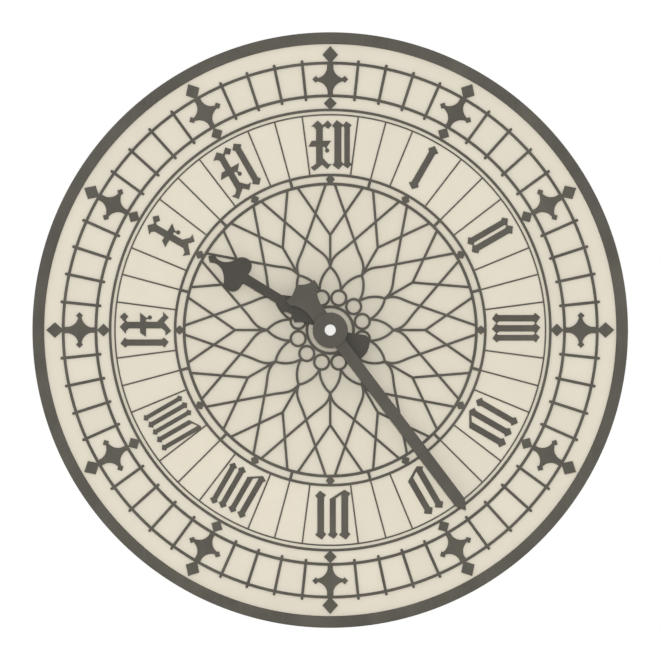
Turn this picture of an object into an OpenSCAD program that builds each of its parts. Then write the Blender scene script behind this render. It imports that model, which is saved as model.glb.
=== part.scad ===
// Tower clock dial with its two hands: opal glass in a round cast rim, gripped between a front and a
// back skeleton of cast bars, with Gothic stars, numerals and a rose of tracery.
// Drawn flat with the front along +z and twelve along +y, then turned so that the front faces -Y and
// twelve is +Z. Heights count forward from the back of the rim, which seats on the wall at y = 0.

/* [Dial] */
// Overall diameter
dial_d = 7000; // [6700:50:7400]

/* [Rim] */
// Width of the rim seen from the front
rim_w = 139; // [120:1:148]
// Depth of the rim from its seat to its front
rim_depth = 80; // [72:1:100]
// Chamfer along both front edges of the rim
rim_chamfer = 8; // [4:1:12]
// Width of the lip that the glass bears against
lip_w = 40; // [30:1:48]

/* [Bolts] */
// Tapped holes in the back of the rim
bolt_count = 24; // [12:1:36]
// Diameter of a tapped hole
bolt_hole_d = 22; // [18:1:26]
// Depth of a tapped hole
bolt_hole_depth = 40; // [30:1:50]

/* [Glass] */
// Thickness of the opal glass
glass_t = 12; // [8:1:16]
// Distance from the seat to the back of the glass
glass_set = 30; // [24:1:38]
// Putty gap between two sheets, hidden behind a ring
glass_gap = 4; // [2:1:8]

/* [Rings from the rim inward] */
// Space between the rim and the points of the stars
star_gap = 23; // [16:1:30]
// From the rim to the outer minute ring
track_inset = 223; // [210:1:240]
// From the outer to the inner minute ring
track_w = 385; // [370:1:400]
// Length of a minute bar beyond the minute rings
bar_overrun = 50; // [40:1:60]
// From the inner minute ring to the ring around the numerals
numeral_ring_inset = 166; // [155:1:180]
// From that ring to the fillet ring
fillet_inset = 57; // [50:1:64]
// From the fillet ring to the outer hour ring
numeral_band = 707; // [680:1:730]
// From the outer to the inner hour ring
hour_band = 106; // [95:1:118]

/* [Bars] */
// Depth of the rings, bars, stars and tracery in front of the glass
bar_depth = 24; // [18:1:30]
// Depth of the same castings behind the glass
back_depth = 20; // [14:1:24]
// Depth of the thin spokes and their fillet ring
spoke_depth = 14; // [10:1:18]
// Width of the two minute rings and of the inner hour ring
ring_w = 35; // [30:1:38]
// Width of the rings on both sides of the numerals
band_ring_w = 32; // [28:1:34]
// Width of the minute bars and of the ticks
minute_bar_w = 34; // [28:1:38]
// Width of the thin spokes and of the fillet ring
spoke_w = 18; // [14:1:22]
// Width of the tracery bars
tracery_w = 30; // [27:1:33]

/* [Numerals] */
// Depth of the numerals
numeral_depth = 16; // [12:1:22]
// From the fillet ring to the shoulder of a stem
head_gap = 129; // [118:1:150]
// From the outer hour ring to the foot of a stem
foot_gap = 122; // [112:1:145]

/* [Hands] */
// Hour hand, degrees clockwise from twelve
hour_angle = 301.2; // [0:0.1:360]
// Minute hand, degrees clockwise from twelve
minute_angle = 143; // [0:0.1:360]
// Space between the tip of the hour hand and the inner hour ring
hour_tip_gap = 42; // [30:1:60]
// Reach of the minute hand past the ring around the numerals
minute_reach = 63; // [40:1:80]
// Thickness of the hour hand
hour_hand_t = 40; // [30:1:46]
// Thickness of the minute hand
minute_hand_t = 40; // [30:1:46]
// Space between the two hands
hand_gap = 30; // [24:1:40]
// Diameter of the round boss in front of the minute hand
boss_d = 414; // [390:1:440]
// Thickness of the boss
boss_t = 20; // [14:1:26]
// Diameter of the cap over the end of the arbor
cap_d = 132; // [120:1:144]
// Height of the cap
cap_h = 25; // [18:1:30]
// Height of the upright edge under the cap's dome
cap_edge = 9; // [6:1:12]

/* [Centre] */
// Width of the plates round the bearing
hub_plate_w = 111; // [100:1:122]
// Space between those plates and the centre ring of the tracery
hub_clear = 57; // [50:1:66]
// Length of the bearing in front of its plate
hub_nose = 62; // [52:1:82]
// Length of the bearing behind the seat
hub_tail = 20; // [14:1:26]
// Outer diameter of the hour pipe
pipe_d = 120; // [112:1:128]
// Diameter of the minute arbor
arbor_d = 80; // [74:1:86]
// Radial running clearance of the arbor and of the pipe
run_gap = 0.06; // [0.04:0.01:0.08]
// Diameter of the flanges that the hands bolt to
flange_d = 300; // [280:1:330]
// Length of the hour pipe behind the seat
pipe_back = 100; // [80:1:120]
// Length of the minute arbor behind the seat
arbor_back = 200; // [180:1:220]
// How much slimmer the driven ends of the pipe and of the arbor are
drive_step = 8; // [4:1:12]

/* [Hidden] */
$fn = 96;
sector = 30;
minute = 6;
joint = 0.5;
seat_gap = 2;

rim_r = dial_d / 2;
rim_in_r = rim_r - rim_w;
rebate_r = rim_in_r + lip_w;
bolt_r = (rebate_r + rim_r) / 2;
face = glass_set + glass_t;

outer_minute_r = rim_in_r - track_inset;
inner_minute_r = outer_minute_r - track_w;
numeral_ring_r = inner_minute_r - numeral_ring_inset;
fillet_r = numeral_ring_r - fillet_inset;
hour_outer_r = fillet_r - numeral_band;
hour_inner_r = hour_outer_r - hour_band;

head_r = fillet_r - head_gap;
foot_r = hour_outer_r + foot_gap;
hour_len = hour_inner_r - hour_tip_gap;
minute_len = numeral_ring_r + minute_reach;

// Half the height and half the width at which a numeral's stem is drawn
stem_top = 228;
stem_half = 37;

// Scales of the ornaments, each from the size it is drawn at
star_k = track_w / 385;
numeral_k = (head_r - foot_r) / (2 * stem_top);
hour_k = hour_len / 1675;
minute_k = minute_len / 2650;

wall_t = 29;
sleeve_d = pipe_d + 2 * wall_t;
hub_d = sleeve_d + 2 * hub_plate_w;

// The garland is drawn about a centre ring of radius 257, and fits round the plates
centre_in_r = hub_d / 2 + hub_clear;
garland_k = centre_in_r / 257;
centre_out_r = 291 * garland_k;
circle_at_r = 390 * garland_k;
circle_out_r = 102 * garland_k;
garland_r = circle_at_r + circle_out_r;

// Radii of the garland and of the hour ring that the rose is drawn between
rose_drawn = [492, 1717];
rose_k = (hour_inner_r - garland_r) / (rose_drawn[1] - rose_drawn[0]);

flange_t = 15;
thrust_gap = 8;
hub_front = face + bar_depth + hub_nose;
hour_back = hub_front + thrust_gap + flange_t;
hour_front = hour_back + hour_hand_t;
minute_back = hour_front + hand_gap;
minute_front = minute_back + minute_hand_t;
boss_front = minute_front + boss_t;
cap_rise = cap_h - cap_edge;
dome_r = (cap_d * cap_d / 4 + cap_rise * cap_rise) / (2 * cap_rise);
arbor_hole_d = arbor_d + 8;
pipe_step = -hub_tail - 5;
arbor_step = -pipe_back - 20;

// Strokes of each numeral: kind, place of the stem, its half width and its shift from the centre,
// then for a v the place and half width of its second stem, and for an x whether its feet are barbed
STROKES = [
  [["i", -4, 40, 24]],
  [["i", -79, 35, 8], ["i", 29, 38, 8]],
  [["i", -139, 38, 8], ["i", -20, 38, 8], ["i", 91, 34, 8]],
  [["i", -147, 35, 0], ["v", 0, 36, 0, 141, 38]],
  [["v", -82, 37, 9, 62, 38]],
  [["v", -171, 41, -3, -30, 36], ["i", 112, 40, -2]],
  [["v", -177, 34, -10, -54, 32], ["i", 73, 32, 0], ["i", 186, 31, 9]],
  [["v", -221, 26, -24, -111, 27], ["i", -9, 25, -23], ["i", 90, 27, -23], ["i", 188, 25, -12]],
  [["i", -147, 37, 5], ["x", 58, 39, 10, true]],
  [["x", 11, 41, 11, true]],
  [["x", -93, 38, 13, true], ["i", 124, 38, 4]],
  [["x", -127, 40, 0, false], ["i", 90, 42, 0], ["i", 198, 33, 0]]
];

iron = "#615e56";
opal = "#e2dbc9";
bronze = "#8a7448";
white = "#f4f4f4";

// Points of a cubic curve in n steps
function bezier(p, n) = [
  for (i = [0 : n])
    let (t = i / n)
      pow(1 - t, 3) * p[0] + 3 * pow(1 - t, 2) * t * p[1] + 3 * (1 - t) * t * t * p[2] + pow(t, 3) * p[3]
];

// Unit direction of a centre line at point i
function way(c, i) =
  let (v = c[min(i + 1, len(c) - 1)] - c[max(i - 1, 0)])
    v / norm(v);

// Points beside a centre line
function beside(c, w) = [for (i = [0 : len(c) - 1]) c[i] + w * [-way(c, i)[1], way(c, i)[0]]];

function backward(p) = [for (i = [len(p) - 1 : -1 : 0]) p[i]];

// Outline of a bar of width w along a centre line
function strip(c, w) = concat(beside(c, w / 2), backward(beside(c, -w / 2)));

// Both halves of an outline that is given for x > 0, from its lower end to its upper end
function both_sides(p) = concat(p, [for (q = backward(p)) [-q[0], q[1]]]);

// Drawn points of the rose, stretched to fit between the garland and the hour ring
function traced(p) = [
  for (q = p)
    let (r = norm(q))
      q * (r < rose_drawn[0] ? garland_k : (garland_r + (r - rose_drawn[0]) * rose_k) / r)
];

function moved(p, x, y) = [for (q = p) [q[0] + x, q[1] + y]];

module upright() {
  rotate([90, 0, 0])
    children();
}

// A flat plate between two heights
module plate(back, front) {
  upright()
    translate([0, 0, back])
      linear_extrude(front - back)
        children();
}

module on_glass(depth) {
  plate(face, face + depth)
    children();
}

module behind_glass() {
  plate(glass_set - back_depth, glass_set)
    children();
}

module around(step, first = 0) {
  for (i = [0 : 360 / step - 1])
    rotate(-first - i * step)
      children();
}

module annulus(out_r, in_r) {
  difference() {
    circle(out_r);
    circle(in_r);
  }
}

module ring(r, w) {
  annulus(r + w / 2, r - w / 2);
}

module diamond(low, high, half_w, x = 0) {
  middle = (low + high) / 2;
  polygon([[x, low], [x + half_w, middle], [x, high], [x - half_w, middle]]);
}

module bar(r1, r2, w) {
  polygon([[-w / 2, r1], [w / 2, r1], [w / 2, r2], [-w / 2, r2]]);
}

// Rim and glass

module rim_profile() {
  polygon([
    [rebate_r, 0],
    [rim_r, 0],
    [rim_r, rim_depth - rim_chamfer],
    [rim_r - rim_chamfer, rim_depth],
    [rim_in_r + rim_chamfer, rim_depth],
    [rim_in_r, rim_depth - rim_chamfer],
    [rim_in_r, face],
    [rebate_r, face]
  ]);
}

module rim() {
  color(iron)
    upright()
      difference() {
        rotate_extrude()
          rim_profile();
        around(360 / bolt_count, 180 / bolt_count)
          translate([0, bolt_r, -1])
            cylinder(d = bolt_hole_d, h = bolt_hole_depth + 1);
      }
}

module glass(out_r, in_r) {
  color(opal)
    plate(glass_set, face)
      annulus(out_r, in_r);
}

module glass_outer() {
  glass(rebate_r - seat_gap, numeral_ring_r + glass_gap / 2);
}

module glass_band() {
  glass(numeral_ring_r - glass_gap / 2, hour_outer_r + glass_gap / 2);
}

module glass_inner() {
  glass(hour_outer_r - glass_gap / 2, sleeve_d / 2 + seat_gap);
}

// Minute track with its five-minute stars and the ring around the numerals

module minute_bar() {
  half = minute_bar_w / 2;
  tip = half * 0.45;
  slope = half * 0.6;
  low = inner_minute_r - bar_overrun;
  high = outer_minute_r + bar_overrun;
  polygon(both_sides([[tip, low], [half, low + slope], [half, high - slope], [tip, high]]));
}

// Four-point star with hollow sides, about its own centre
module star_body() {
  half = 172;
  top = 154;
  bottom = -163;
  point = 41;
  difference() {
    polygon([[-half, bottom], [half, bottom], [half, top], [-half, top]]);
    for (side = [-1, 1]) {
      translate([side * 177, top])
        circle(141.5);
      translate([side * 169, bottom])
        circle(140);
    }
  }
  bar(top - 40, 193, 76);
  bar(-193, bottom + 40, 63);
  for (side = [-1, 1])
    diamond(-point, point + 2, point, side * 170);
}

module star() {
  translate([0, (outer_minute_r + inner_minute_r) / 2])
    scale(star_k)
      star_body();
  diamond(outer_minute_r - ring_w / 6, rim_in_r - star_gap, 92);
  diamond(numeral_ring_r, inner_minute_r - ring_w / 3, 76);
}

module track_outline() {
  ring(outer_minute_r, ring_w);
  ring(inner_minute_r, ring_w);
  ring(numeral_ring_r, band_ring_w);
  around(sector) {
    star();
    for (i = [1 : 4])
      rotate(-i * minute)
        minute_bar();
  }
}

module minute_track() {
  color(iron)
    on_glass(bar_depth)
      track_outline();
}

module back_track() {
  color(iron)
    behind_glass()
      track_outline();
}

// Thin spokes between the numerals, ending in a fillet ring

module spoke_outline() {
  ring(fillet_r, spoke_w);
  around(sector)
    for (i = [1 : 3])
      rotate(-i * sector / 4)
        bar(hour_outer_r + band_ring_w / 2 + joint, fillet_r, spoke_w);
}

module spokes() {
  color(iron)
    on_glass(spoke_depth)
      spoke_outline();
}

module back_spokes() {
  color(iron)
    behind_glass()
      spoke_outline();
}

// Double ring inside the numerals, with a lozenge at each hour and a tick at each half hour

module hour_ring_outline() {
  sunk = 13;
  ring(hour_outer_r, band_ring_w);
  ring(hour_inner_r, ring_w);
  around(sector)
    diamond(hour_inner_r - sunk, hour_outer_r + sunk, 54);
  around(sector, sector / 2)
    bar(hour_inner_r, hour_outer_r, minute_bar_w);
}

module hour_ring() {
  color(iron)
    on_glass(bar_depth)
      hour_ring_outline();
}

module back_hour_ring() {
  color(iron)
    behind_glass()
      hour_ring_outline();
}

// Rose of tracery: petals rise from a garland of circles, then branch out to the hour ring

module tracery_bar(c, depth) {
  linear_extrude(depth)
    polygon(strip(c, tracery_w));
}

// The space of one hour, less half a hairline joint on each side
module hour_wedge(depth) {
  reach = 2 * hour_inner_r;
  root = joint / 2 / sin(sector / 2);
  side_x = reach * sin(sector / 2);
  side_y = root + reach * cos(sector / 2);
  linear_extrude(depth)
    polygon([[0, root], [side_x, side_y], [-side_x, side_y]]);
}

// One side of a petal, from its point down to the garland
module petal_side(side, depth) {
  leaf = bezier(traced([[0, 741], [side * 65, 690], [side * 130, 580], [side * 124, 462]]), 10);
  difference() {
    intersection() {
      tracery_bar(leaf, depth);
      hour_wedge(depth);
    }
    rotate(-side * sector / 2)
      translate([0, circle_at_r, -1])
        cylinder(r = circle_out_r + joint, h = depth + 2);
  }
}

// One half of a branch: a long arm that bends out of the stem, and a short arm from its top
module branch(side, depth) {
  bend = bezier(traced([[side * 2, 745], [side * 18, 875], [side * 117, 913], [side * 200, 984.5]]), 10);
  tracery_bar(concat(bend, traced([[side * 835, 1530.3]])), depth);
  tracery_bar(traced([[0, 1117], [side * 385, 1673]]), depth);
}

module tracery(depth) {
  intersection() {
    cylinder(r = hour_inner_r - ring_w / 2 - joint, h = depth, $fn = 720);
    union() {
      around(sector) {
        tracery_bar(traced([[0, 728], [0, 1126]]), depth);
        for (side = [-1, 1]) {
          branch(side, depth);
          petal_side(side, depth);
        }
      }
    }
  }
}

module rose() {
  color(iron)
    upright()
      translate([0, 0, face])
        tracery(bar_depth);
}

module back_rose() {
  color(iron)
    upright()
      translate([0, 0, glass_set - back_depth])
        tracery(back_depth);
}

module garland_outline() {
  around(sector, sector / 2)
    translate([0, circle_at_r])
      annulus(circle_out_r, circle_out_r - tracery_w);
  annulus(centre_out_r, centre_in_r);
}

module garland() {
  color(iron)
    on_glass(bar_depth)
      garland_outline();
}

module back_garland() {
  color(iron)
    behind_glass()
      garland_outline();
}

// Numerals in broken-pen strokes, feet toward the centre, drawn about the middle of the stems

// Broken head of a stem, as left corner, point, right corner and right shoulder
function head(g) = [
  [-61 * g, stem_top], [-12 * g, stem_top + 59 * g], [61 * g, stem_top + 8 * g], [37 * g, stem_top - 20 * g]
];

// Outline of a stem whose foot ends in the given points
function stem(g, foot) = concat(head(g), foot, [[-37 * g, stem_top - 25 * g]]);

module pen(points, x, shift) {
  polygon(numeral_k * moved(points, x, shift));
}

module stroke_i(x, half, shift) {
  g = half / stem_half;
  foot = [
    [37 * g, 32 * g - stem_top], [60 * g, 4 * g - stem_top], [8 * g, -52 * g - stem_top],
    [-60 * g, -4 * g - stem_top], [-37 * g, 22 * g - stem_top]
  ];
  pen(stem(g, foot), x, shift);
}

module stroke_v(x1, half1, shift, x2, half2) {
  g = half1 / stem_half;
  foot = [
    [37 * g, -5 * g - stem_top], [4 * g, -60 * g - stem_top], [-62 * g, -21 * g - stem_top],
    [-37 * g, 10 * g - stem_top]
  ];
  cut_end = [[half2, 51 - stem_top], [-half2, 45 - stem_top]];
  link = [
    [x2 - half2, 59 - stem_top], [x2 + half2, 59 - stem_top], [x2 + half2 + 3, 46 - stem_top],
    [x1 + 4 * g, -60 * g - stem_top], [x1 - 6 * g, -30 * g - stem_top], [x1 + half1 + 18, 3 - stem_top],
    [x2 - half2, 36 - stem_top]
  ];
  pen(stem(g, foot), x1, shift);
  pen(stem(half2 / stem_half, cut_end), x2, shift);
  pen(link, 0, shift);
}

module stroke_x(x, half, shift, barbed) {
  reach = barbed ? 9 : 0;
  upper = [
    [-half, 183], [-65, 213], [-96 - reach, 219], [-20, 291], [38, 236], [98, 291], [148, 236], [103, 189],
    [59, 221], [half, 198], [half, 52], [138 + reach, 51], [88, -22], [97, -62], [82, -64], [64, -19],
    [half, -19], [half, -149]
  ];
  right_foot = barbed ? [[110, -219], [156, -217], [92, -285]] : [[106, -220], [145, -222], [92, -283]];
  left_foot = barbed
    ? [[33, -230], [-68, -316], [-124, -247], [-74, -245], [-half, -205]]
    : [[33, -230], [-59, -304], [-103, -263], [-half, -219]];
  crossbar = [[-half, -19], [-130 - reach, -19], [-90, 52], [-half, 52]];
  pen(concat(upper, right_foot, left_foot, crossbar), x, shift);
  drop = [for (a = [0 : 15 : 345]) [90 + 25 * sin(a), 25 * cos(a) - 63]];
  pen(drop, x, shift);
}

module stroke(s) {
  if (s[0] == "i")
    stroke_i(s[1], s[2], s[3]);
  if (s[0] == "v")
    stroke_v(s[1], s[2], s[3], s[4], s[5]);
  if (s[0] == "x")
    stroke_x(s[1], s[2], s[3], s[4]);
}

module numeral(hour) {
  color(iron)
    on_glass(numeral_depth)
      rotate(-hour * sector)
        difference() {
          translate([0, (head_r + foot_r) / 2])
            for (s = STROKES[hour - 1])
              stroke(s);
          for (side = [-1, 1])
            rotate(side * sector / 4)
              translate([-side * spoke_w, 0])
                bar(hour_outer_r, fillet_r, 3 * spoke_w + 2 * joint);
        }
}

// Bearing with the plates that grip the glass, hour pipe and minute arbor

module hub() {
  color(iron)
    upright()
      difference() {
        union() {
          translate([0, 0, face])
            cylinder(d = hub_d, h = bar_depth);
          translate([0, 0, -hub_tail])
            cylinder(d = sleeve_d, h = hub_front + hub_tail);
        }
        translate([0, 0, -hub_tail - 1])
          cylinder(d = pipe_d + 2 * run_gap, h = hub_front + hub_tail + 2);
      }
}

module hub_ring() {
  color(iron)
    behind_glass()
      annulus(hub_d / 2, sleeve_d / 2 + seat_gap);
}

module hour_pipe() {
  color(bronze)
    upright()
      difference() {
        union() {
          translate([0, 0, -pipe_back])
            cylinder(d = pipe_d - drive_step, h = pipe_back + hour_back - 1);
          translate([0, 0, pipe_step])
            cylinder(d = pipe_d, h = hour_back - pipe_step - 1);
          translate([0, 0, hour_back - flange_t])
            cylinder(d = flange_d, h = flange_t);
        }
        translate([0, 0, -pipe_back - 1])
          cylinder(d = arbor_d + 2 * run_gap, h = pipe_back + hour_back + 2);
      }
}

module minute_arbor() {
  color(bronze)
    upright() {
      translate([0, 0, -arbor_back])
        cylinder(d = arbor_d - drive_step, h = arbor_back + minute_back - 1);
      translate([0, 0, arbor_step])
        cylinder(d = arbor_d, h = minute_back - arbor_step - 1);
      translate([0, 0, minute_back - flange_t])
        cylinder(d = flange_d, h = flange_t);
    }
}

// Hands

module hour_outline() {
  lobe = bezier([[59, 1165], [240, 1140], [240, 1290], [176, 1357]], 12);
  sweep = bezier([[176, 1357], [90, 1396], [27, 1460], [27, 1540]], 8);
  polygon(hour_k * both_sides(concat(
    [[53, 150], [53, 212]],
    bezier([[65, 260], [80, 320], [110, 370], [139, 405]], 6),
    bezier([[120, 440], [70, 480], [62, 505], [106, 597]], 8),
    [[58, 705], [59, 1160]],
    lobe,
    sweep,
    [[31, 1575], [54, 1625], [2, 1675]]
  )));
  tail = bezier([[80, 150], [100, 300], [175, 360], [162, 411]], 8);
  tail_end = bezier([[156, 432], [120, 480], [60, 500], [2, 502]], 8);
  rotate(180)
    polygon(hour_k * both_sides(concat(tail, tail_end)));
  circle(170 * hour_k);
}

module minute_outline() {
  polygon(minute_k * both_sides([[72, 150], [72, 2533], [32, 2604], [2, 2650]]));
  flare = bezier([[94, 306], [110, 400], [140, 470], [206, 511]], 8);
  ogee = bezier([[206, 588], [130, 570], [60, 620], [2, 664]], 8);
  rotate(180)
    polygon(minute_k * both_sides(concat([[94, 140]], flare, ogee)));
  circle(190 * minute_k);
}

module hour_hand() {
  color(iron)
    plate(hour_back, hour_front)
      difference() {
        rotate(-hour_angle)
          hour_outline();
        circle(d = arbor_hole_d);
      }
}

module minute_hand() {
  color(iron)
    plate(minute_back, minute_front)
      rotate(-minute_angle)
        minute_outline();
}

module boss() {
  color(iron)
    plate(minute_front, boss_front)
      circle(d = boss_d);
}

module cap() {
  color(white)
    upright()
      translate([0, 0, boss_front])
        intersection() {
          cylinder(d = cap_d, h = cap_h);
          translate([0, 0, cap_h - dome_r])
            sphere(dome_r);
        }
}

rim();
glass_outer();
glass_band();
glass_inner();
minute_track();
spokes();
hour_ring();
rose();
garland();
back_track();
back_spokes();
back_hour_ring();
back_rose();
back_garland();
numeral(1);  // numeral_1
numeral(2);  // numeral_2
numeral(3);  // numeral_3
numeral(4);  // numeral_4
numeral(5);  // numeral_5
numeral(6);  // numeral_6
numeral(7);  // numeral_7
numeral(8);  // numeral_8
numeral(9);  // numeral_9
numeral(10);  // numeral_10
numeral(11);  // numeral_11
numeral(12);  // numeral_12
hub();
hub_ring();
hour_pipe();
hour_hand();
minute_arbor();
minute_hand();
boss();
cap();
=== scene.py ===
"""Looks of a tower clock dial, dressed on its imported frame.

The dial faces -Y with twelve along +Z, and its axis is the Y axis. New pieces are drawn flat, with
the front along +z and twelve along +y, and are then stood upright. Names that end in _mm hold
millimetres; every other length is in metres.
"""

import logging
import math
from abc import ABC, abstractmethod
from dataclasses import dataclass, field
from enum import Enum
from typing import Any, Iterable

import bmesh
import bpy
from mathutils import Matrix, Vector


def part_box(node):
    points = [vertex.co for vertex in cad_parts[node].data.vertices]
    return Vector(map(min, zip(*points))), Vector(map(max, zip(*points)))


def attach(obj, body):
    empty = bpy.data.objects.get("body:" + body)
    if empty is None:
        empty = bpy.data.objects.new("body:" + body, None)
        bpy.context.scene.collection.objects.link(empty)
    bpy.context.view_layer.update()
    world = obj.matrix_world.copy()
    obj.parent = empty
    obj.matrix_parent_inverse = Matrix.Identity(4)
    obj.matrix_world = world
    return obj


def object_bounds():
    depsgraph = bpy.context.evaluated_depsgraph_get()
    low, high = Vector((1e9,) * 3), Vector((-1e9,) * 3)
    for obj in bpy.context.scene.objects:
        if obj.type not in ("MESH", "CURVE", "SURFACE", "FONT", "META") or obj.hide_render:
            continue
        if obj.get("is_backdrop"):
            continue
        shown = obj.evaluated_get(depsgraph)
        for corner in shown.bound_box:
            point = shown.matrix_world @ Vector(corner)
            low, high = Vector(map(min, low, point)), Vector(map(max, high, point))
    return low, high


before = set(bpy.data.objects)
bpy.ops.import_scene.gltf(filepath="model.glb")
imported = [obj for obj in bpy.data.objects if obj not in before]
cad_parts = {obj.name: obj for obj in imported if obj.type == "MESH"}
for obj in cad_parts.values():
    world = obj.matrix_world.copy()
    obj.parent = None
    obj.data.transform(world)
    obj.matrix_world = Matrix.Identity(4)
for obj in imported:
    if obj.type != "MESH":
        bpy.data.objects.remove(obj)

log = logging.getLogger("clock_dial")

MM = 0.001

HOURS = 12
FLAT_AXIS = (0, 0, 1)  # the dial's axis in a flat drawing
FLAT_CENTRE = (0, 0, 0)
UPRIGHT = Matrix.Rotation(math.radians(90), 4, "X")
MERGE_MM = 0.01
CREASE_DEG = 35

MIX_SHARE, MIX_A, MIX_B, MIX_COLOUR = 0, 6, 7, 2  # sockets of a Mix node that mixes colours
MIX_A_VALUE, MIX_B_VALUE = 2, 3  # and of one that mixes plain values
NOISE_SPAN = {"From Min": 0.3, "From Max": 0.7}  # where most values of a noise texture lie
WAVE_PHASE = 20  # phase that a wave texture runs through in one unit at a scale of 1

Colour = tuple[float, float, float, float]
WHITE: Colour = (1.0, 1.0, 1.0, 1.0)


class Body(Enum):
    """Body of the frame that new pieces ride on."""

    DIAL = "dial"


class Slot(Enum):
    """Material slots of the record."""

    PAINTED_IRON = "painted_iron"
    OPAL_GLASS = "opal_glass"


def linear(hex_colour: str) -> Colour:
    """Turn an sRGB hex colour into linear light.

    Args:
        hex_colour: Colour as "#rrggbb".

    Returns:
        Red, green, blue and an alpha of 1.
    """
    channels = [int(hex_colour[i : i + 2], 16) / 255 for i in (1, 3, 5)]
    red, green, blue = (
        c / 12.92 if c <= 0.04045 else ((c + 0.055) / 1.055) ** 2.4 for c in channels
    )
    return red, green, blue, 1.0


def per_metre(size_mm: float) -> float:
    """Return the texture scale at which a pattern repeats about every size_mm."""
    return 1 / (size_mm * MM)


def add(
    tree: bpy.types.NodeTree,
    kind: str,
    inputs: dict[str | int, Any] | None = None,
    **settings: Any,
) -> bpy.types.Node:
    """Add a node with its settings, values and links.

    Args:
        tree: Node tree that gets the node.
        kind: Node type, without its ShaderNode prefix.
        inputs: Value or linked output for each input, by name or place.
        **settings: Attributes of the node.

    Returns:
        The new node.
    """
    node = tree.nodes.new("ShaderNode" + kind)
    for key, value in settings.items():
        setattr(node, key, value)
    for key, value in (inputs or {}).items():
        if isinstance(value, bpy.types.NodeSocket):
            tree.links.new(value, node.inputs[key])
        else:
            node.inputs[key].default_value = value
    return node


def seen_rays(tree: bpy.types.NodeTree) -> bpy.types.NodeSocket:
    """Tell the rays that show a surface to the eye from those that only carry light.

    Args:
        tree: Node tree of a material or world.

    Returns:
        1 for what is seen straight, in gloss or through glass, and 0 for other rays.
    """
    path = add(tree, "LightPath")
    straight = add(
        tree,
        "Math",
        {0: path.outputs["Is Camera Ray"], 1: path.outputs["Is Glossy Ray"]},
        operation="MAXIMUM",
    )
    seen = add(
        tree,
        "Math",
        {0: straight.outputs[0], 1: path.outputs["Is Transmission Ray"]},
        operation="MAXIMUM",
    )
    return seen.outputs[0]


@dataclass(frozen=True)
class Finish(ABC):
    """A surface finish that is made into one material."""

    name: str

    def material(self) -> bpy.types.Material:
        """Make the finish's material on first use.

        Returns:
            The material, which all pieces of this finish share.
        """
        known = bpy.data.materials.get(self.name)
        if known:
            return known
        made = bpy.data.materials.new(self.name)
        made.use_nodes = True
        tree = made.node_tree
        tree.nodes.clear()
        shader = self.shade(tree, add(tree, "TexCoord").outputs["Object"])
        add(tree, "OutputMaterial", {"Surface": shader.outputs["BSDF"]})
        return made

    @abstractmethod
    def shade(self, tree: bpy.types.NodeTree, place: bpy.types.NodeSocket) -> bpy.types.Node:
        """Add the finish's nodes.

        Args:
            tree: The material's node tree.
            place: Object coordinates.

        Returns:
            The shader node.
        """


@dataclass(frozen=True)
class PaintedCastIron(Finish):
    """Matt oil paint over sand-cast iron: a soft grain, faded patches and faint rain streaks.

    The sand grain is 2 to 3 mm on a real casting and is drawn coarser here, so that it shows.
    """

    name: str = "painted_cast_iron"
    deep: str = "#54514a"
    faded: str = "#5f5c54"
    dust: str = "#6d6a61"
    grain_mm: float = 22
    grain_height_mm: float = 1.2
    patch_mm: float = 420
    streak_w_mm: float = 38
    streak_h_mm: float = 700
    streak_strength: float = 0.3
    rough_low: float = 0.58
    rough_high: float = 0.74

    def shade(self, tree: bpy.types.NodeTree, place: bpy.types.NodeSocket) -> bpy.types.Node:
        """Mix faded patches and rain streaks, with the grain as bump.

        Args:
            tree: The material's node tree.
            place: Object coordinates.

        Returns:
            The shader node.
        """
        patches = add(
            tree, "TexNoise", {"Vector": place, "Scale": per_metre(self.patch_mm), "Detail": 5.0}
        )
        grain = add(
            tree, "TexNoise", {"Vector": place, "Scale": per_metre(self.grain_mm), "Detail": 3.0}
        )
        across, along = per_metre(self.streak_w_mm), per_metre(self.streak_h_mm)
        fall = add(tree, "Mapping", {"Vector": place, "Scale": (across, across, along)})
        streaks = add(
            tree, "TexNoise", {"Vector": fall.outputs["Vector"], "Scale": 1.0, "Detail": 2.0}
        )
        fade = add(tree, "MapRange", {"Value": patches.outputs["Fac"], **NOISE_SPAN})
        paint = add(
            tree,
            "Mix",
            {
                MIX_SHARE: fade.outputs["Result"],
                MIX_A: linear(self.deep),
                MIX_B: linear(self.faded),
            },
            data_type="RGBA",
        )
        washed = add(
            tree,
            "MapRange",
            {
                "Value": streaks.outputs["Fac"],
                "From Min": 0.55,
                "From Max": 0.8,
                "To Max": self.streak_strength,
            },
        )
        colour = add(
            tree,
            "Mix",
            {
                MIX_SHARE: washed.outputs["Result"],
                MIX_A: paint.outputs[MIX_COLOUR],
                MIX_B: linear(self.dust),
            },
            data_type="RGBA",
        )
        rough = add(
            tree,
            "MapRange",
            {
                "Value": grain.outputs["Fac"],
                **NOISE_SPAN,
                "To Min": self.rough_low,
                "To Max": self.rough_high,
            },
        )
        bump = add(
            tree,
            "Bump",
            {
                "Height": grain.outputs["Fac"],
                "Strength": 0.6,
                "Distance": self.grain_height_mm * MM,
            },
        )
        return add(
            tree,
            "BsdfPrincipled",
            {
                "Base Color": colour.outputs[MIX_COLOUR],
                "Roughness": rough.outputs["Result"],
                "Normal": bump.outputs["Normal"],
                "Specular IOR Level": 0.25,
            },
        )


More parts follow.
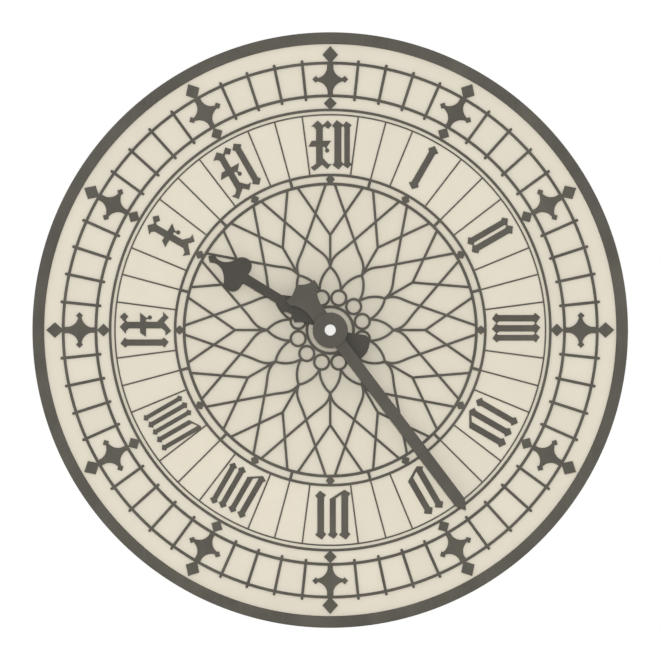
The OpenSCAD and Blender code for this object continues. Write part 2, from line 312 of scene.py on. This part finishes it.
@dataclass(frozen=True)
class OpalGlass(Finish):
    """Rolled opal glass: a milky, clouded body under a smooth rippled face.

    Real panes are cut from different sheets, so each one is a shade lighter or darker than the
    next. Panes run round the dial in equal steps, and between track_in and track_out in narrower
    steps of their own. Near the axis the panes are greyed by painted shade, for the shade of the
    hands.
    """

    body: str = "#e4ddcb"
    cloud: str = "#dfd7c5"
    panes: int = HOURS
    offset: float = 0
    track_panes: int = 60
    track_in: float = 0
    track_out: float = 0
    tone: float = 0.03
    painted_axis_shade: float = 0
    painted_axis_shade_reach: float = 1.3
    cloud_mm: float = 260
    ripple_mm: float = 140
    ripple_height_mm: float = 0.5

    def pane_tone(
        self, tree: bpy.types.NodeTree, place: bpy.types.NodeSocket
    ) -> bpy.types.NodeSocket:
        """Give each pane a tone of its own, and grey the glass toward the axis with painted shade.

        Args:
            tree: The material's node tree.
            place: Object coordinates.

        Returns:
            Brightness by which the glass is multiplied, about 1.
        """
        axes = add(tree, "SeparateXYZ", {"Vector": place})
        x, z = axes.outputs["X"], axes.outputs["Z"]
        flat = add(tree, "CombineXYZ", {"X": x, "Y": z})
        length = add(tree, "VectorMath", {0: flat.outputs["Vector"]}, operation="LENGTH")
        radius = length.outputs["Value"]
        past_in = add(tree, "Math", {0: radius, 1: self.track_in}, operation="GREATER_THAN")
        past_out = add(tree, "Math", {0: radius, 1: self.track_out}, operation="GREATER_THAN")
        track = add(
            tree, "Math", {0: past_in.outputs[0], 1: past_out.outputs[0]}, operation="SUBTRACT"
        )
        extra = float(self.track_panes - self.panes)
        count = add(
            tree,
            "Math",
            {0: track.outputs[0], 1: extra, 2: float(self.panes)},
            operation="MULTIPLY_ADD",
        )
        angle = add(tree, "Math", {0: x, 1: z}, operation="ARCTAN2")
        turn = add(tree, "Math", {0: angle.outputs[0], 1: math.tau}, operation="DIVIDE")
        step = add(
            tree,
            "Math",
            {0: turn.outputs[0], 1: count.outputs[0], 2: self.offset},
            operation="MULTIPLY_ADD",
        )
        pane = add(tree, "Math", {0: step.outputs[0]}, operation="FLOOR")
        ring = add(tree, "Math", {0: past_in.outputs[0], 1: past_out.outputs[0]}, operation="ADD")
        key = add(tree, "CombineXYZ", {"X": pane.outputs[0], "Y": ring.outputs[0]})
        noise = add(tree, "TexWhiteNoise", {"Vector": key.outputs["Vector"]}, noise_dimensions="2D")
        shade = add(
            tree,
            "MapRange",
            {
                "Value": noise.outputs["Value"],
                "To Min": 1 - self.tone / 2,
                "To Max": 1 + self.tone / 2,
            },
        )
        # Painted shade: the glass darkens toward the axis, where the hands shade it.
        clear = add(
            tree,
            "MapRange",
            {"Value": radius, "From Max": self.painted_axis_shade_reach, "To Min": 1 - self.painted_axis_shade},
            interpolation_type="SMOOTHSTEP",
        )
        both = add(
            tree,
            "Math",
            {0: shade.outputs["Result"], 1: clear.outputs["Result"]},
            operation="MULTIPLY",
        )
        return both.outputs[0]

    def shade(self, tree: bpy.types.NodeTree, place: bpy.types.NodeSocket) -> bpy.types.Node:
        """Cloud the body, tone each pane, and ripple the face.

        Args:
            tree: The material's node tree.
            place: Object coordinates.

        Returns:
            The shader node.
        """
        clouds = add(
            tree, "TexNoise", {"Vector": place, "Scale": per_metre(self.cloud_mm), "Detail": 4.0}
        )
        ripple = add(
            tree, "TexNoise", {"Vector": place, "Scale": per_metre(self.ripple_mm), "Detail": 1.0}
        )
        milk = add(
            tree,
            "Mix",
            {
                MIX_SHARE: clouds.outputs["Fac"],
                MIX_A: linear(self.body),
                MIX_B: linear(self.cloud),
            },
            data_type="RGBA",
        )
        tone = self.pane_tone(tree, place)
        colour = add(tree, "HueSaturation", {"Color": milk.outputs[MIX_COLOUR], "Value": tone})
        bump = add(
            tree,
            "Bump",
            {
                "Height": ripple.outputs["Fac"],
                "Strength": 0.5,
                "Distance": self.ripple_height_mm * MM,
            },
        )
        return add(
            tree,
            "BsdfPrincipled",
            {
                "Base Color": colour.outputs["Color"],
                "Roughness": 0.34,
                "Normal": bump.outputs["Normal"],
                "Specular IOR Level": 0.3,
                "IOR": 1.52,
            },
        )


@dataclass(frozen=True)
class BrushedPaint(Finish):
    """Oil paint brushed along a hand's plate: long fine strokes, a little sheen, faded patches.

    Brush marks are about 1 mm apart on a real hand and are drawn wider here, so that they show.
    """

    angle_deg: float
    deep: str = "#504d47"
    faded: str = "#5b5850"
    stroke_w_mm: float = 9
    stroke_h_mm: float = 520
    stroke_height_mm: float = 0.6
    stroke_share: float = 0.4
    patch_mm: float = 340
    rough_low: float = 0.5
    rough_high: float = 0.64

    def shade(self, tree: bpy.types.NodeTree, place: bpy.types.NodeSocket) -> bpy.types.Node:
        """Lay the strokes along the hand, over faded patches.

        Args:
            tree: The material's node tree.
            place: Object coordinates.

        Returns:
            The shader node.
        """
        across, along = per_metre(self.stroke_w_mm), per_metre(self.stroke_h_mm)
        turned = add(
            tree,
            "Mapping",
            {"Vector": place, "Rotation": (0.0, -math.radians(self.angle_deg), 0.0)},
        )
        drawn = add(
            tree, "Mapping", {"Vector": turned.outputs["Vector"], "Scale": (across, across, along)}
        )
        strokes = add(
            tree, "TexNoise", {"Vector": drawn.outputs["Vector"], "Scale": 1.0, "Detail": 2.0}
        )
        patches = add(
            tree, "TexNoise", {"Vector": place, "Scale": per_metre(self.patch_mm), "Detail": 4.0}
        )
        both = add(
            tree,
            "Mix",
            {
                MIX_SHARE: self.stroke_share,
                MIX_A_VALUE: patches.outputs["Fac"],
                MIX_B_VALUE: strokes.outputs["Fac"],
            },
            data_type="FLOAT",
        )
        fade = add(tree, "MapRange", {"Value": both.outputs[0], **NOISE_SPAN})
        colour = add(
            tree,
            "Mix",
            {
                MIX_SHARE: fade.outputs["Result"],
                MIX_A: linear(self.deep),
                MIX_B: linear(self.faded),
            },
            data_type="RGBA",
        )
        rough = add(
            tree,
            "MapRange",
            {
                "Value": strokes.outputs["Fac"],
                **NOISE_SPAN,
                "To Min": self.rough_low,
                "To Max": self.rough_high,
            },
        )
        bump = add(
            tree,
            "Bump",
            {
                "Height": strokes.outputs["Fac"],
                "Strength": 0.35,
                "Distance": self.stroke_height_mm * MM,
            },
        )
        return add(
            tree,
            "BsdfPrincipled",
            {
                "Base Color": colour.outputs[MIX_COLOUR],
                "Roughness": rough.outputs["Result"],
                "Normal": bump.outputs["Normal"],
                "Specular IOR Level": 0.28,
            },
        )


@dataclass(frozen=True)
class TurnedBronze(Finish):
    """Bronze turned on a lathe: fine rings round the axis, dulled brown in patches by old oil.

    Tool marks are under 1 mm apart on a real arbor and are drawn wider here, so that they show.
    """

    name: str = "turned_bronze"
    bright: str = "#a5854a"
    oiled: str = "#6d5731"
    ring_mm: float = 7
    ring_height_mm: float = 0.3
    patch_mm: float = 60
    rough_bright: float = 0.3
    rough_oiled: float = 0.5

    def shade(self, tree: bpy.types.NodeTree, place: bpy.types.NodeSocket) -> bpy.types.Node:
        """Ring the metal round the dial's axis and along it, and dull it in patches.

        Args:
            tree: The material's node tree.
            place: Object coordinates.

        Returns:
            The shader node.
        """
        wave = per_metre(self.ring_mm) * math.tau / WAVE_PHASE
        cut = {"Vector": place, "Scale": wave, "Distortion": 0.6, "Detail": 2.0}
        rings = add(tree, "TexWave", cut, wave_type="RINGS", rings_direction="Y")
        threads = add(tree, "TexWave", cut, wave_type="BANDS", bands_direction="Y")
        patches = add(
            tree, "TexNoise", {"Vector": place, "Scale": per_metre(self.patch_mm), "Detail": 4.0}
        )
        dull = add(
            tree, "MapRange", {"Value": patches.outputs["Fac"], "From Min": 0.35, "From Max": 0.65}
        )
        colour = add(
            tree,
            "Mix",
            {
                MIX_SHARE: dull.outputs["Result"],
                MIX_A: linear(self.bright),
                MIX_B: linear(self.oiled),
            },
            data_type="RGBA",
        )
        rough = add(
            tree,
            "MapRange",
            {
                "Value": dull.outputs["Result"],
                "To Min": self.rough_bright,
                "To Max": self.rough_oiled,
            },
        )
        marks = add(
            tree, "Math", {0: rings.outputs["Fac"], 1: threads.outputs["Fac"]}, operation="MAXIMUM"
        )
        bump = add(
            tree,
            "Bump",
            {"Height": marks.outputs[0], "Strength": 0.25, "Distance": self.ring_height_mm * MM},
        )
        return add(
            tree,
            "BsdfPrincipled",
            {
                "Base Color": colour.outputs[MIX_COLOUR],
                "Metallic": 1.0,
                "Roughness": rough.outputs["Result"],
                "Normal": bump.outputs["Normal"],
            },
        )


@dataclass(frozen=True)
class WhiteEnamel(Finish):
    """Fired white enamel: a smooth coat with a faint orange-peel and a trace of grime."""

    name: str = "fired_white_enamel"
    clean: str = "#efefed"
    grime: str = "#e6e4df"
    peel_mm: float = 6
    peel_height_mm: float = 0.2
    grime_mm: float = 45

    def shade(self, tree: bpy.types.NodeTree, place: bpy.types.NodeSocket) -> bpy.types.Node:
        """Tint the coat with grime and dimple it.

        Args:
            tree: The material's node tree.
            place: Object coordinates.

        Returns:
            The shader node.
        """
        dirt = add(
            tree, "TexNoise", {"Vector": place, "Scale": per_metre(self.grime_mm), "Detail": 3.0}
        )
        peel = add(
            tree, "TexNoise", {"Vector": place, "Scale": per_metre(self.peel_mm), "Detail": 0.0}
        )
        worn = add(
            tree, "MapRange", {"Value": dirt.outputs["Fac"], "From Min": 0.5, "From Max": 0.8}
        )
        colour = add(
            tree,
            "Mix",
            {
                MIX_SHARE: worn.outputs["Result"],
                MIX_A: linear(self.clean),
                MIX_B: linear(self.grime),
            },
            data_type="RGBA",
        )
        bump = add(
            tree,
            "Bump",
            {
                "Height": peel.outputs["Fac"],
                "Strength": 0.1,
                "Distance": self.peel_height_mm * MM,
            },
        )
        return add(
            tree,
            "BsdfPrincipled",
            {
                "Base Color": colour.outputs[MIX_COLOUR],
                "Roughness": 0.25,
                "Normal": bump.outputs["Normal"],
                "Coat Weight": 0.15,
            },
        )


@dataclass(frozen=True)
class LinseedPutty(Finish):
    """Dried linseed putty: chalky, off-white and knife-smeared."""

    name: str = "linseed_putty"
    chalk: str = "#cbc3ae"
    old: str = "#a79e88"
    smear_mm: float = 34
    smear_height_mm: float = 1.5

    def shade(self, tree: bpy.types.NodeTree, place: bpy.types.NodeSocket) -> bpy.types.Node:
        """Mottle the chalky body and roughen it.

        Args:
            tree: The material's node tree.
            place: Object coordinates.

        Returns:
            The shader node.
        """
        smear = add(
            tree, "TexNoise", {"Vector": place, "Scale": per_metre(self.smear_mm), "Detail": 4.0}
        )
        colour = add(
            tree,
            "Mix",
            {
                MIX_SHARE: smear.outputs["Fac"],
                MIX_A: linear(self.chalk),
                MIX_B: linear(self.old),
            },
            data_type="RGBA",
        )
        bump = add(
            tree,
            "Bump",
            {
                "Height": smear.outputs["Fac"],
                "Strength": 0.5,
                "Distance": self.smear_height_mm * MM,
            },
        )
        return add(
            tree,
            "BsdfPrincipled",
            {
                "Base Color": colour.outputs[MIX_COLOUR],
                "Roughness": 0.85,
                "Normal": bump.outputs["Normal"],
                "Specular IOR Level": 0.2,
            },
        )


@dataclass(frozen=True)
class ForgedSteel(Finish):
    """Forged steel nuts: dark scale with a brown, rougher bloom of rust in patches."""

    name: str = "forged_steel"
    scale: str = "#4b4a48"
    bloom: str = "#6a5443"
    bloom_mm: float = 18

    def shade(self, tree: bpy.types.NodeTree, place: bpy.types.NodeSocket) -> bpy.types.Node:
        """Bloom the dark scale and roughen it in patches.

        Args:
            tree: The material's node tree.
            place: Object coordinates.

        Returns:
            The shader node.
        """
        spread = add(
            tree, "TexNoise", {"Vector": place, "Scale": per_metre(self.bloom_mm), "Detail": 4.0}
        )
        rust = add(
            tree, "MapRange", {"Value": spread.outputs["Fac"], "From Min": 0.48, "From Max": 0.7}
        )
        colour = add(
            tree,
            "Mix",
            {
                MIX_SHARE: rust.outputs["Result"],
                MIX_A: linear(self.scale),
                MIX_B: linear(self.bloom),
            },
            data_type="RGBA",
        )
        rough = add(
            tree, "MapRange", {"Value": rust.outputs["Result"], "To Min": 0.4, "To Max": 0.7}
        )
        metal = add(
            tree, "MapRange", {"Value": rust.outputs["Result"], "To Min": 0.9, "To Max": 0.2}
        )
        return add(
            tree,
            "BsdfPrincipled",
            {
                "Base Color": colour.outputs[MIX_COLOUR],
                "Metallic": metal.outputs["Result"],
                "Roughness": rough.outputs["Result"],
            },
        )


@dataclass(frozen=True)
class StudioFloor(Finish):
    """Matt pale studio floor with a barely visible mottle, lifted toward white where it is seen."""

    name: str = "studio_floor"
    pale: str = "#f4f4f3"
    worn: str = "#efefed"
    mottle_mm: float = 900
    lift: float = 0.36

    def shade(self, tree: bpy.types.NodeTree, place: bpy.types.NodeSocket) -> bpy.types.Node:
        """Mottle the floor softly, and lift what is seen of it.

        Args:
            tree: The material's node tree.
            place: Object coordinates.

        Returns:
            The shader node.
        """
        mottle = add(tree, "TexNoise", {"Vector": place, "Scale": per_metre(self.mottle_mm)})
        colour = add(
            tree,
            "Mix",
            {
                MIX_SHARE: mottle.outputs["Fac"],
                MIX_A: linear(self.pale),
                MIX_B: linear(self.worn),
            },
            data_type="RGBA",
        )
        lift = add(tree, "Math", {0: seen_rays(tree), 1: self.lift}, operation="MULTIPLY")
        return add(
            tree,
            "BsdfPrincipled",
            {
                "Base Color": colour.outputs[MIX_COLOUR],
                "Roughness": 0.9,
                "Emission Color": WHITE,
                "Emission Strength": lift.outputs[0],
            },
        )


@dataclass(frozen=True)
class Arris:
    """The small round that casting and paint leave along the edges of a CAD node.

    A flat face of a node comes in triangles. They are kept where its outline has many short edges,
    and joined where thin ones would get in the way of the round.
    """

    width_mm: float
    segments: int = 2
    join_flats: bool = False
    edge_deg: float = 40
    flat_deg: float = 0.2
    weld_mm: float = 0.02

    def ease(self, node: bpy.types.Object) -> None:
        """Weld a node's loose triangles, round its edges and shade them evenly.

        Args:
            node: Object of the CAD node.
        """
        weld = node.modifiers.new("weld", "WELD")
        weld.merge_threshold = self.weld_mm * MM
        if self.join_flats:
            flats = node.modifiers.new("flats", "DECIMATE")
            flats.decimate_type = "DISSOLVE"
            flats.angle_limit = math.radians(self.flat_deg)
        round_off = node.modifiers.new("arris", "BEVEL")
        round_off.width = self.width_mm * MM
        round_off.segments = self.segments
        round_off.limit_method = "ANGLE"
        round_off.angle_limit = math.radians(self.edge_deg)
        round_off.miter_outer = "MITER_ARC"
        round_off.use_clamp_overlap = False
        node.modifiers.new("even_shading", "WEIGHTED_NORMAL").keep_sharp = True


def dress(names: Iterable[str], finish: Finish, arris: Arris | None = None) -> None:
    """Give CAD nodes their finish.

    Args:
        names: Nodes to dress.
        finish: Finish that they all get.
        arris: Rounding of their edges, if any.
    """
    for name in names:
        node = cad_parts[name]
        node.data.materials.clear()
        node.data.materials.append(finish.material())
        if arris:
            arris.ease(node)
        log.info("dressed %s in %s", name, finish.name)


def add_piece(
    name: str, bm: bmesh.types.BMesh, body: Body, finish: Finish
) -> bpy.types.Object:
    """Stand a flat-drawn mesh upright and make it a piece of the object.

    Args:
        name: Name of the piece.
        bm: Mesh with the front along +z and twelve along +y; it is freed.
        body: Body that the piece rides on.
        finish: Finish of the piece.

    Returns:
        The new object.
    """
    bmesh.ops.remove_doubles(bm, verts=bm.verts, dist=MERGE_MM * MM)
    bmesh.ops.recalc_face_normals(bm, faces=bm.faces)
    bmesh.ops.transform(bm, matrix=UPRIGHT, verts=bm.verts)
    mesh = bpy.data.meshes.new(name)
    bm.to_mesh(mesh)
    bm.free()
    mesh.shade_smooth()
    mesh.set_sharp_from_angle(angle=math.radians(CREASE_DEG))
    mesh.materials.append(finish.material())
    made = bpy.data.objects.new(name, mesh)
    bpy.context.scene.collection.objects.link(made)
    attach(made, body.value)
    log.info("made %s in %s, %d faces", name, finish.name, len(mesh.polygons))
    return made


def radius_of(node: str) -> float:
    """Return how far a node reaches from the dial's axis, to the right."""
    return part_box(node)[1].x


def back_of(node: str) -> float:
    """Return the flat height of a node's back, which is minus its largest y."""
    return -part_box(node)[1].y


@dataclass(frozen=True)
class Fastener:
    """A hex nut on its washer, with the end of its stud."""

    across_mm: float
    height_mm: float
    washer_mm: float
    stud_mm: float
    washer_t_mm: float = 2
    stud_proud: float = 0.25  # how far the stud stands out, in parts of its width
    chamfer_mm: float = 1.2
    chamfer_most: float = 1 / 3  # in parts of the height
    washer_sides: int = 20
    nut_sides: int = 6
    stud_sides: int = 12

    def stack(self, bm: bmesh.types.BMesh, place: Matrix, top: float) -> None:
        """Add one fastener that stands on a back face and points backward.

        Args:
            bm: Mesh that gets the fastener.
            place: Where its axis stands in the flat drawing.
            top: Flat height of the face that it stands on.
        """
        layers = (
            (self.washer_t_mm, self.washer_mm / 2, self.washer_sides),
            (self.height_mm, self.across_mm / math.sqrt(3), self.nut_sides),
            (self.stud_mm * self.stud_proud, self.stud_mm / 2, self.stud_sides),
        )
        for height_mm, radius_mm, sides in layers:
            self.slab(bm, place, top, height_mm * MM, radius_mm, sides)
            top -= height_mm * MM

    def slab(
        self,
        bm: bmesh.types.BMesh,
        place: Matrix,
        top: float,
        height: float,
        radius_mm: float,
        sides: int,
    ) -> None:
        """Add one prism with a chamfered lower edge.

        Args:
            bm: Mesh that gets the prism.
            place: Where its axis stands in the flat drawing.
            top: Flat height of its upper face.
            height: Its height, downward.
            radius_mm: Radius to its corners.
            sides: Number of sides.
        """
        chamfer = min(self.chamfer_mm * MM, height * self.chamfer_most)
        straight = height - chamfer
        made = bmesh.ops.create_cone(
            bm,
            cap_ends=True,
            segments=sides,
            radius1=radius_mm * MM,
            radius2=radius_mm * MM,
            depth=straight,
            matrix=place @ Matrix.Translation((0, 0, top - straight / 2)),
        )
        faces = [f for v in made["verts"] for f in v.link_faces]
        end = min(faces, key=lambda f: f.calc_center_median().z)
        bmesh.ops.inset_region(
            bm, faces=[end], thickness=chamfer, depth=chamfer, use_even_offset=True
        )


def repeat_round(bm: bmesh.types.BMesh, count: int) -> None:
    """Repeat all of a flat-drawn mesh in equal steps round the dial's axis.

    Args:
        bm: Mesh to repeat.
        count: How many there are in the full turn.
    """
    bmesh.ops.spin(
        bm,
        geom=bm.verts[:] + bm.edges[:] + bm.faces[:],
        axis=FLAT_AXIS,
        cent=FLAT_CENTRE,
        angle=math.tau * (count - 1) / count,
        steps=count - 1,
        use_duplicate=True,
    )


def join(parts: Iterable[bmesh.types.BMesh]) -> bmesh.types.BMesh:
    """Join meshes into one.

    Args:
        parts: Meshes to join; they are freed.

    Returns:
        One mesh that holds them all.
    """
    whole = bmesh.new()
    for part in parts:
        held = bpy.data.meshes.new("held")
        part.to_mesh(held)
        part.free()
        whole.from_mesh(held)
        bpy.data.meshes.remove(held)
    return whole


@dataclass
class Rim:
    """Cast rim with the putty that beds the glass behind its lip."""

    finish: Finish
    putty: Finish
    fillet_w_mm: float = 24
    fillet_h_mm: float = 20
    clear_mm: float = 0.5
    steps: int = 240

    def build(self) -> None:
        """Dress the casting and run a fillet of putty round the back of the glass."""
        dress(["rim"], self.finish)
        bm = bmesh.new()
        wall = radius_of("glass_outer") + self.clear_mm * MM
        glass = back_of("glass_outer")
        corners = [
            (wall, glass),
            (wall - self.fillet_w_mm * MM, glass),
            (wall, glass - self.fillet_h_mm * MM),
        ]
        verts = [bm.verts.new((r, 0, h)) for r, h in corners]
        edges = [bm.edges.new((verts[i], verts[i - 1])) for i in range(len(verts))]
        bmesh.ops.spin(
            bm,
            geom=verts + edges,
            axis=FLAT_AXIS,
            cent=FLAT_CENTRE,
            angle=math.tau,
            steps=self.steps,
            use_merge=True,
        )
        add_piece("rim_putty", bm, Body.DIAL, self.putty)


@dataclass
class Glazing:
    """Opal glass of the track, of the numeral band and of the rose.

    The track's panes change at the two minute rings, and the numeral band's at its spokes.
    """

    outer_ring_inset_mm: float = 261
    inner_ring_inset_mm: float = 646
    band_panes: int = 2 * HOURS

    def build(self) -> None:
        """Dress the three sheets, each with its own panes."""
        edge = radius_of("glass_outer")
        track = OpalGlass(
            "opal_glass_track",
            body="#e5decd",
            cloud="#e0d8c7",
            track_in=edge - self.inner_ring_inset_mm * MM,
            track_out=edge - self.outer_ring_inset_mm * MM,
        )
        band = OpalGlass("opal_glass_band", panes=self.band_panes, offset=0.5)
        # The rose's glass is painted a shade darker than the band's, and greyer toward the axis:
        # painted shade of the hands.
        rose = OpalGlass(
            "opal_glass_rose_painted_shade",
            body="#e1dac8",
            cloud="#dcd4c3",
            panes=1,
            offset=0.5,
            tone=0,
            painted_axis_shade=0.22,
        )
        dress(["glass_outer"], track)
        dress(["glass_band"], band)
        dress(["glass_inner"], rose)


@dataclass
class Skeleton:
    """Cast bars, stars and tracery before and behind the glass, with the nuts that clamp them.

    The bars of the rose cross at angles too narrow for a round, so they stay sharp.
    """

    finish: Finish
    steel: Finish
    sharp: tuple[str, ...] = ("rose", "back_rose")
    front: tuple[str, ...] = ("spokes", "hour_ring", "garland")
    back: tuple[str, ...] = ("back_track", "back_spokes", "back_hour_ring", "back_garland")
    track_arris: Arris = Arris(2)
    front_arris: Arris = Arris(4)
    back_arris: Arris = Arris(2, segments=1)
    star_inset_mm: float = 391
    lozenge_inset_mm: float = 69
    fork_inset_mm: float = 582
    large: Fastener = Fastener(across_mm=46, height_mm=7, washer_mm=60, stud_mm=30)
    small: Fastener = Fastener(across_mm=24, height_mm=6, washer_mm=28, stud_mm=16)

    def build(self) -> None:
        """Dress the castings and clamp them with nuts at the back."""
        dress(self.sharp, self.finish)
        dress(["minute_track"], self.finish, self.track_arris)
        dress(self.front, self.finish, self.front_arris)
        dress(self.back, self.finish, self.back_arris)
        stars = self.ring_of("back_track", self.star_inset_mm, self.large)
        lozenges = self.ring_of("back_hour_ring", self.lozenge_inset_mm, self.small)
        forks = self.ring_of("back_rose", self.fork_inset_mm, self.small)
        nuts = join([stars, lozenges, forks])
        add_piece("clamp_nuts", nuts, Body.DIAL, self.steel)

    def ring_of(self, node: str, inset_mm: float, nut: Fastener) -> bmesh.types.BMesh:
        """Make twelve nuts on the back of a casting, one at each hour.

        Args:
            node: CAD node that carries them.
            inset_mm: Distance of the nuts in from the node's outermost point.
            nut: Kind of nut.

        Returns:
            Mesh of the ring of nuts.
        """
        bm = bmesh.new()
        place = Matrix.Translation((0, radius_of(node) - inset_mm * MM, 0))
        nut.stack(bm, place, back_of(node))
        repeat_round(bm, HOURS)
        return bm


@dataclass
class Numerals:
    """Twelve cast numerals in broken letters. Those from nine on have an x with a fine drop."""

    finish: Finish
    plain: range = range(1, 9)
    crossed: range = range(9, HOURS + 1)
    plain_arris: Arris = Arris(3)
    crossed_arris: Arris = Arris(1, join_flats=True)

    def build(self) -> None:
        """Dress the numerals."""
        for hours, arris in ((self.plain, self.plain_arris), (self.crossed, self.crossed_arris)):
            dress([f"numeral_{hour}" for hour in hours], self.finish, arris)


@dataclass
class Bearing:
    """Plates that grip the glass round the axis, with the bronze pipe and arbor in them."""

    finish: Finish
    bronze: Finish
    steel: Finish
    plate_arris: Arris = Arris(3)
    turned_arris: Arris = Arris(1.5, join_flats=True)
    bolt_inset_mm: float = 36
    bolts: int = 8
    bolt: Fastener = Fastener(across_mm=30, height_mm=6, washer_mm=38, stud_mm=18)

    def build(self) -> None:
        """Dress the bearing and bolt its plates together."""
        dress(["hub", "hub_ring"], self.finish, self.plate_arris)
        dress(["hour_pipe", "minute_arbor"], self.bronze, self.turned_arris)
        bm = bmesh.new()
        place = Matrix.Translation((0, radius_of("hub_ring") - self.bolt_inset_mm * MM, 0))
        self.bolt.stack(bm, place, back_of("hub_ring"))
        repeat_round(bm, self.bolts)
        add_piece("hub_bolts", bm, Body.DIAL, self.steel)


@dataclass
class Hands:
    """Plate hands, the round boss and the cap over the end of the arbor.

    The hour hand's paint is darker: painted shade, for it lies deeper, under the minute hand.
    """

    enamel: Finish
    hour_deg: float = 301.2
    minute_deg: float = 143.0
    plate_arris: Arris = Arris(1.8, join_flats=True)
    boss_arris: Arris = Arris(4, join_flats=True)
    cap_arris: Arris = Arris(3, join_flats=True)

    def build(self) -> None:
        """Dress both hands along their length, then the boss and the cap."""
        # The hour hand's darker paint is painted shade.
        hour = BrushedPaint("brushed_paint_hour_painted_shade", self.hour_deg, deep="#43403b", faded="#4c4942")
        minute = BrushedPaint("brushed_paint_minute", self.minute_deg)
        dress(["hour_hand"], hour, self.plate_arris)
        dress(["minute_hand"], minute, self.plate_arris)
        dress(["boss"], minute, self.boss_arris)
        dress(["cap"], self.enamel, self.cap_arris)


@dataclass(frozen=True)
class SoftLamp:
    """A square lamp that faces the dial."""

    name: str
    place: tuple[float, float, float]
    watts: float
    size: float

    def hang(self) -> None:
        """Hang the lamp in the scene."""
        light = bpy.data.lights.new(self.name, "AREA")
        light.energy = self.watts
        light.size = self.size
        lamp = bpy.data.objects.new(self.name, light)
        lamp.location = self.place
        lamp.rotation_euler = (-Vector(self.place)).to_track_quat("-Z", "Y").to_euler()
        bpy.context.scene.collection.objects.link(lamp)


@dataclass(frozen=True)
class FillLight:
    """Level light that fills the shade beside the bars, without a highlight.

    It dips a little, so that the floor doesn't cut into it.
    """

    name: str
    heading_y: float
    strength: float  # watts on a square metre that faces it
    dip: float = 0.06
    spread_deg: float = 4

    def shine(self) -> None:
        """Put the light in the scene."""
        light = bpy.data.lights.new(self.name, "SUN")
        light.energy = self.strength
        light.angle = math.radians(self.spread_deg)
        lamp = bpy.data.objects.new(self.name, light)
        heading = Vector((0, self.heading_y, -self.dip))
        lamp.rotation_euler = heading.to_track_quat("-Z", "Y").to_euler()
        lamp.visible_glossy = False
        bpy.context.scene.collection.objects.link(lamp)


@dataclass
class Studio:
    """Camera, dome, lamps, fill lights and floor."""

    floor_finish: Finish
    centre: Vector = field(default_factory=lambda: Vector((-0.0027, 0, -0.0289)))
    frame_height: float = 7.815
    camera_away: float = 30
    camera_reach: float = 500
    dome: float = 0.5
    lamps: tuple[SoftLamp, ...] = (
        SoftLamp("key", (-6, -12, 6), watts=60, size=7),
        SoftLamp("low", (0, -4.5, -2.2), watts=8, size=2.4),
        SoftLamp("back", (5, 10, 6), watts=150, size=7),
    )
    fills: tuple[FillLight, ...] = (
        FillLight("front_fill", heading_y=1, strength=1.48),
        FillLight("back_fill", heading_y=-1, strength=0.9),
    )
    floor_size: float = 400

    def build(self) -> None:
        """Set up everything around the object."""
        scene = bpy.context.scene
        scene.view_settings.view_transform = "Standard"
        self.place_camera(scene)
        self.light_dome(scene)
        for lamp in self.lamps:
            lamp.hang()
        for fill in self.fills:
            fill.shine()
        self.lay_floor(scene)

    def place_camera(self, scene: bpy.types.Scene) -> None:
        """Look straight at the front, without perspective.

        Args:
            scene: Scene that gets the camera.
        """
        lens = bpy.data.cameras.new("camera")
        lens.type = "ORTHO"
        lens.ortho_scale = self.frame_height
        lens.clip_end = self.camera_reach
        camera = bpy.data.objects.new("camera", lens)
        camera.location = self.centre - Vector((0, self.camera_away, 0))
        camera.rotation_euler = (math.radians(90), 0, 0)
        scene.collection.objects.link(camera)
        scene.camera = camera

    def light_dome(self, scene: bpy.types.Scene) -> None:
        """Light softly from all round, and show plain white to the eye, in gloss and through glass.

        Args:
            scene: Scene that gets the world.
        """
        world = bpy.data.worlds.new("dome")
        world.use_nodes = True
        tree = world.node_tree
        tree.nodes.clear()
        soft = add(tree, "Background", {"Color": WHITE, "Strength": self.dome})
        plain = add(tree, "Background", {"Color": WHITE, "Strength": 1.0})
        both = add(tree, "MixShader", {0: seen_rays(tree), 1: soft.outputs[0], 2: plain.outputs[0]})
        add(tree, "OutputWorld", {"Surface": both.outputs[0]})
        scene.world = world

    def lay_floor(self, scene: bpy.types.Scene) -> None:
        """Lay a wide floor under the lowest point of the rim.

        Args:
            scene: Scene that gets the floor.
        """
        bm = bmesh.new()
        low = Matrix.Translation((0, 0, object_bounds()[0].z))
        bmesh.ops.create_grid(bm, x_segments=1, y_segments=1, size=self.floor_size / 2, matrix=low)
        mesh = bpy.data.meshes.new("floor")
        bm.to_mesh(mesh)
        bm.free()
        mesh.materials.append(self.floor_finish.material())
        floor = bpy.data.objects.new("floor", mesh)
        scene.collection.objects.link(floor)
        floor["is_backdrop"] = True


def main() -> None:
    """Build the sub-assemblies in order, from the rim inward and from the glass forward."""
    logging.basicConfig(level=logging.INFO, format="%(name)s: %(message)s")
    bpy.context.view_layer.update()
    iron = PaintedCastIron()
    steel = ForgedSteel()
    Rim(iron, LinseedPutty()).build()
    Glazing().build()
    Skeleton(iron, steel).build()
    Numerals(iron).build()
    Bearing(iron, TurnedBronze(), steel).build()
    Hands(WhiteEnamel()).build()
    Studio(StudioFloor()).build()


if __name__ == "__main__":
    main()
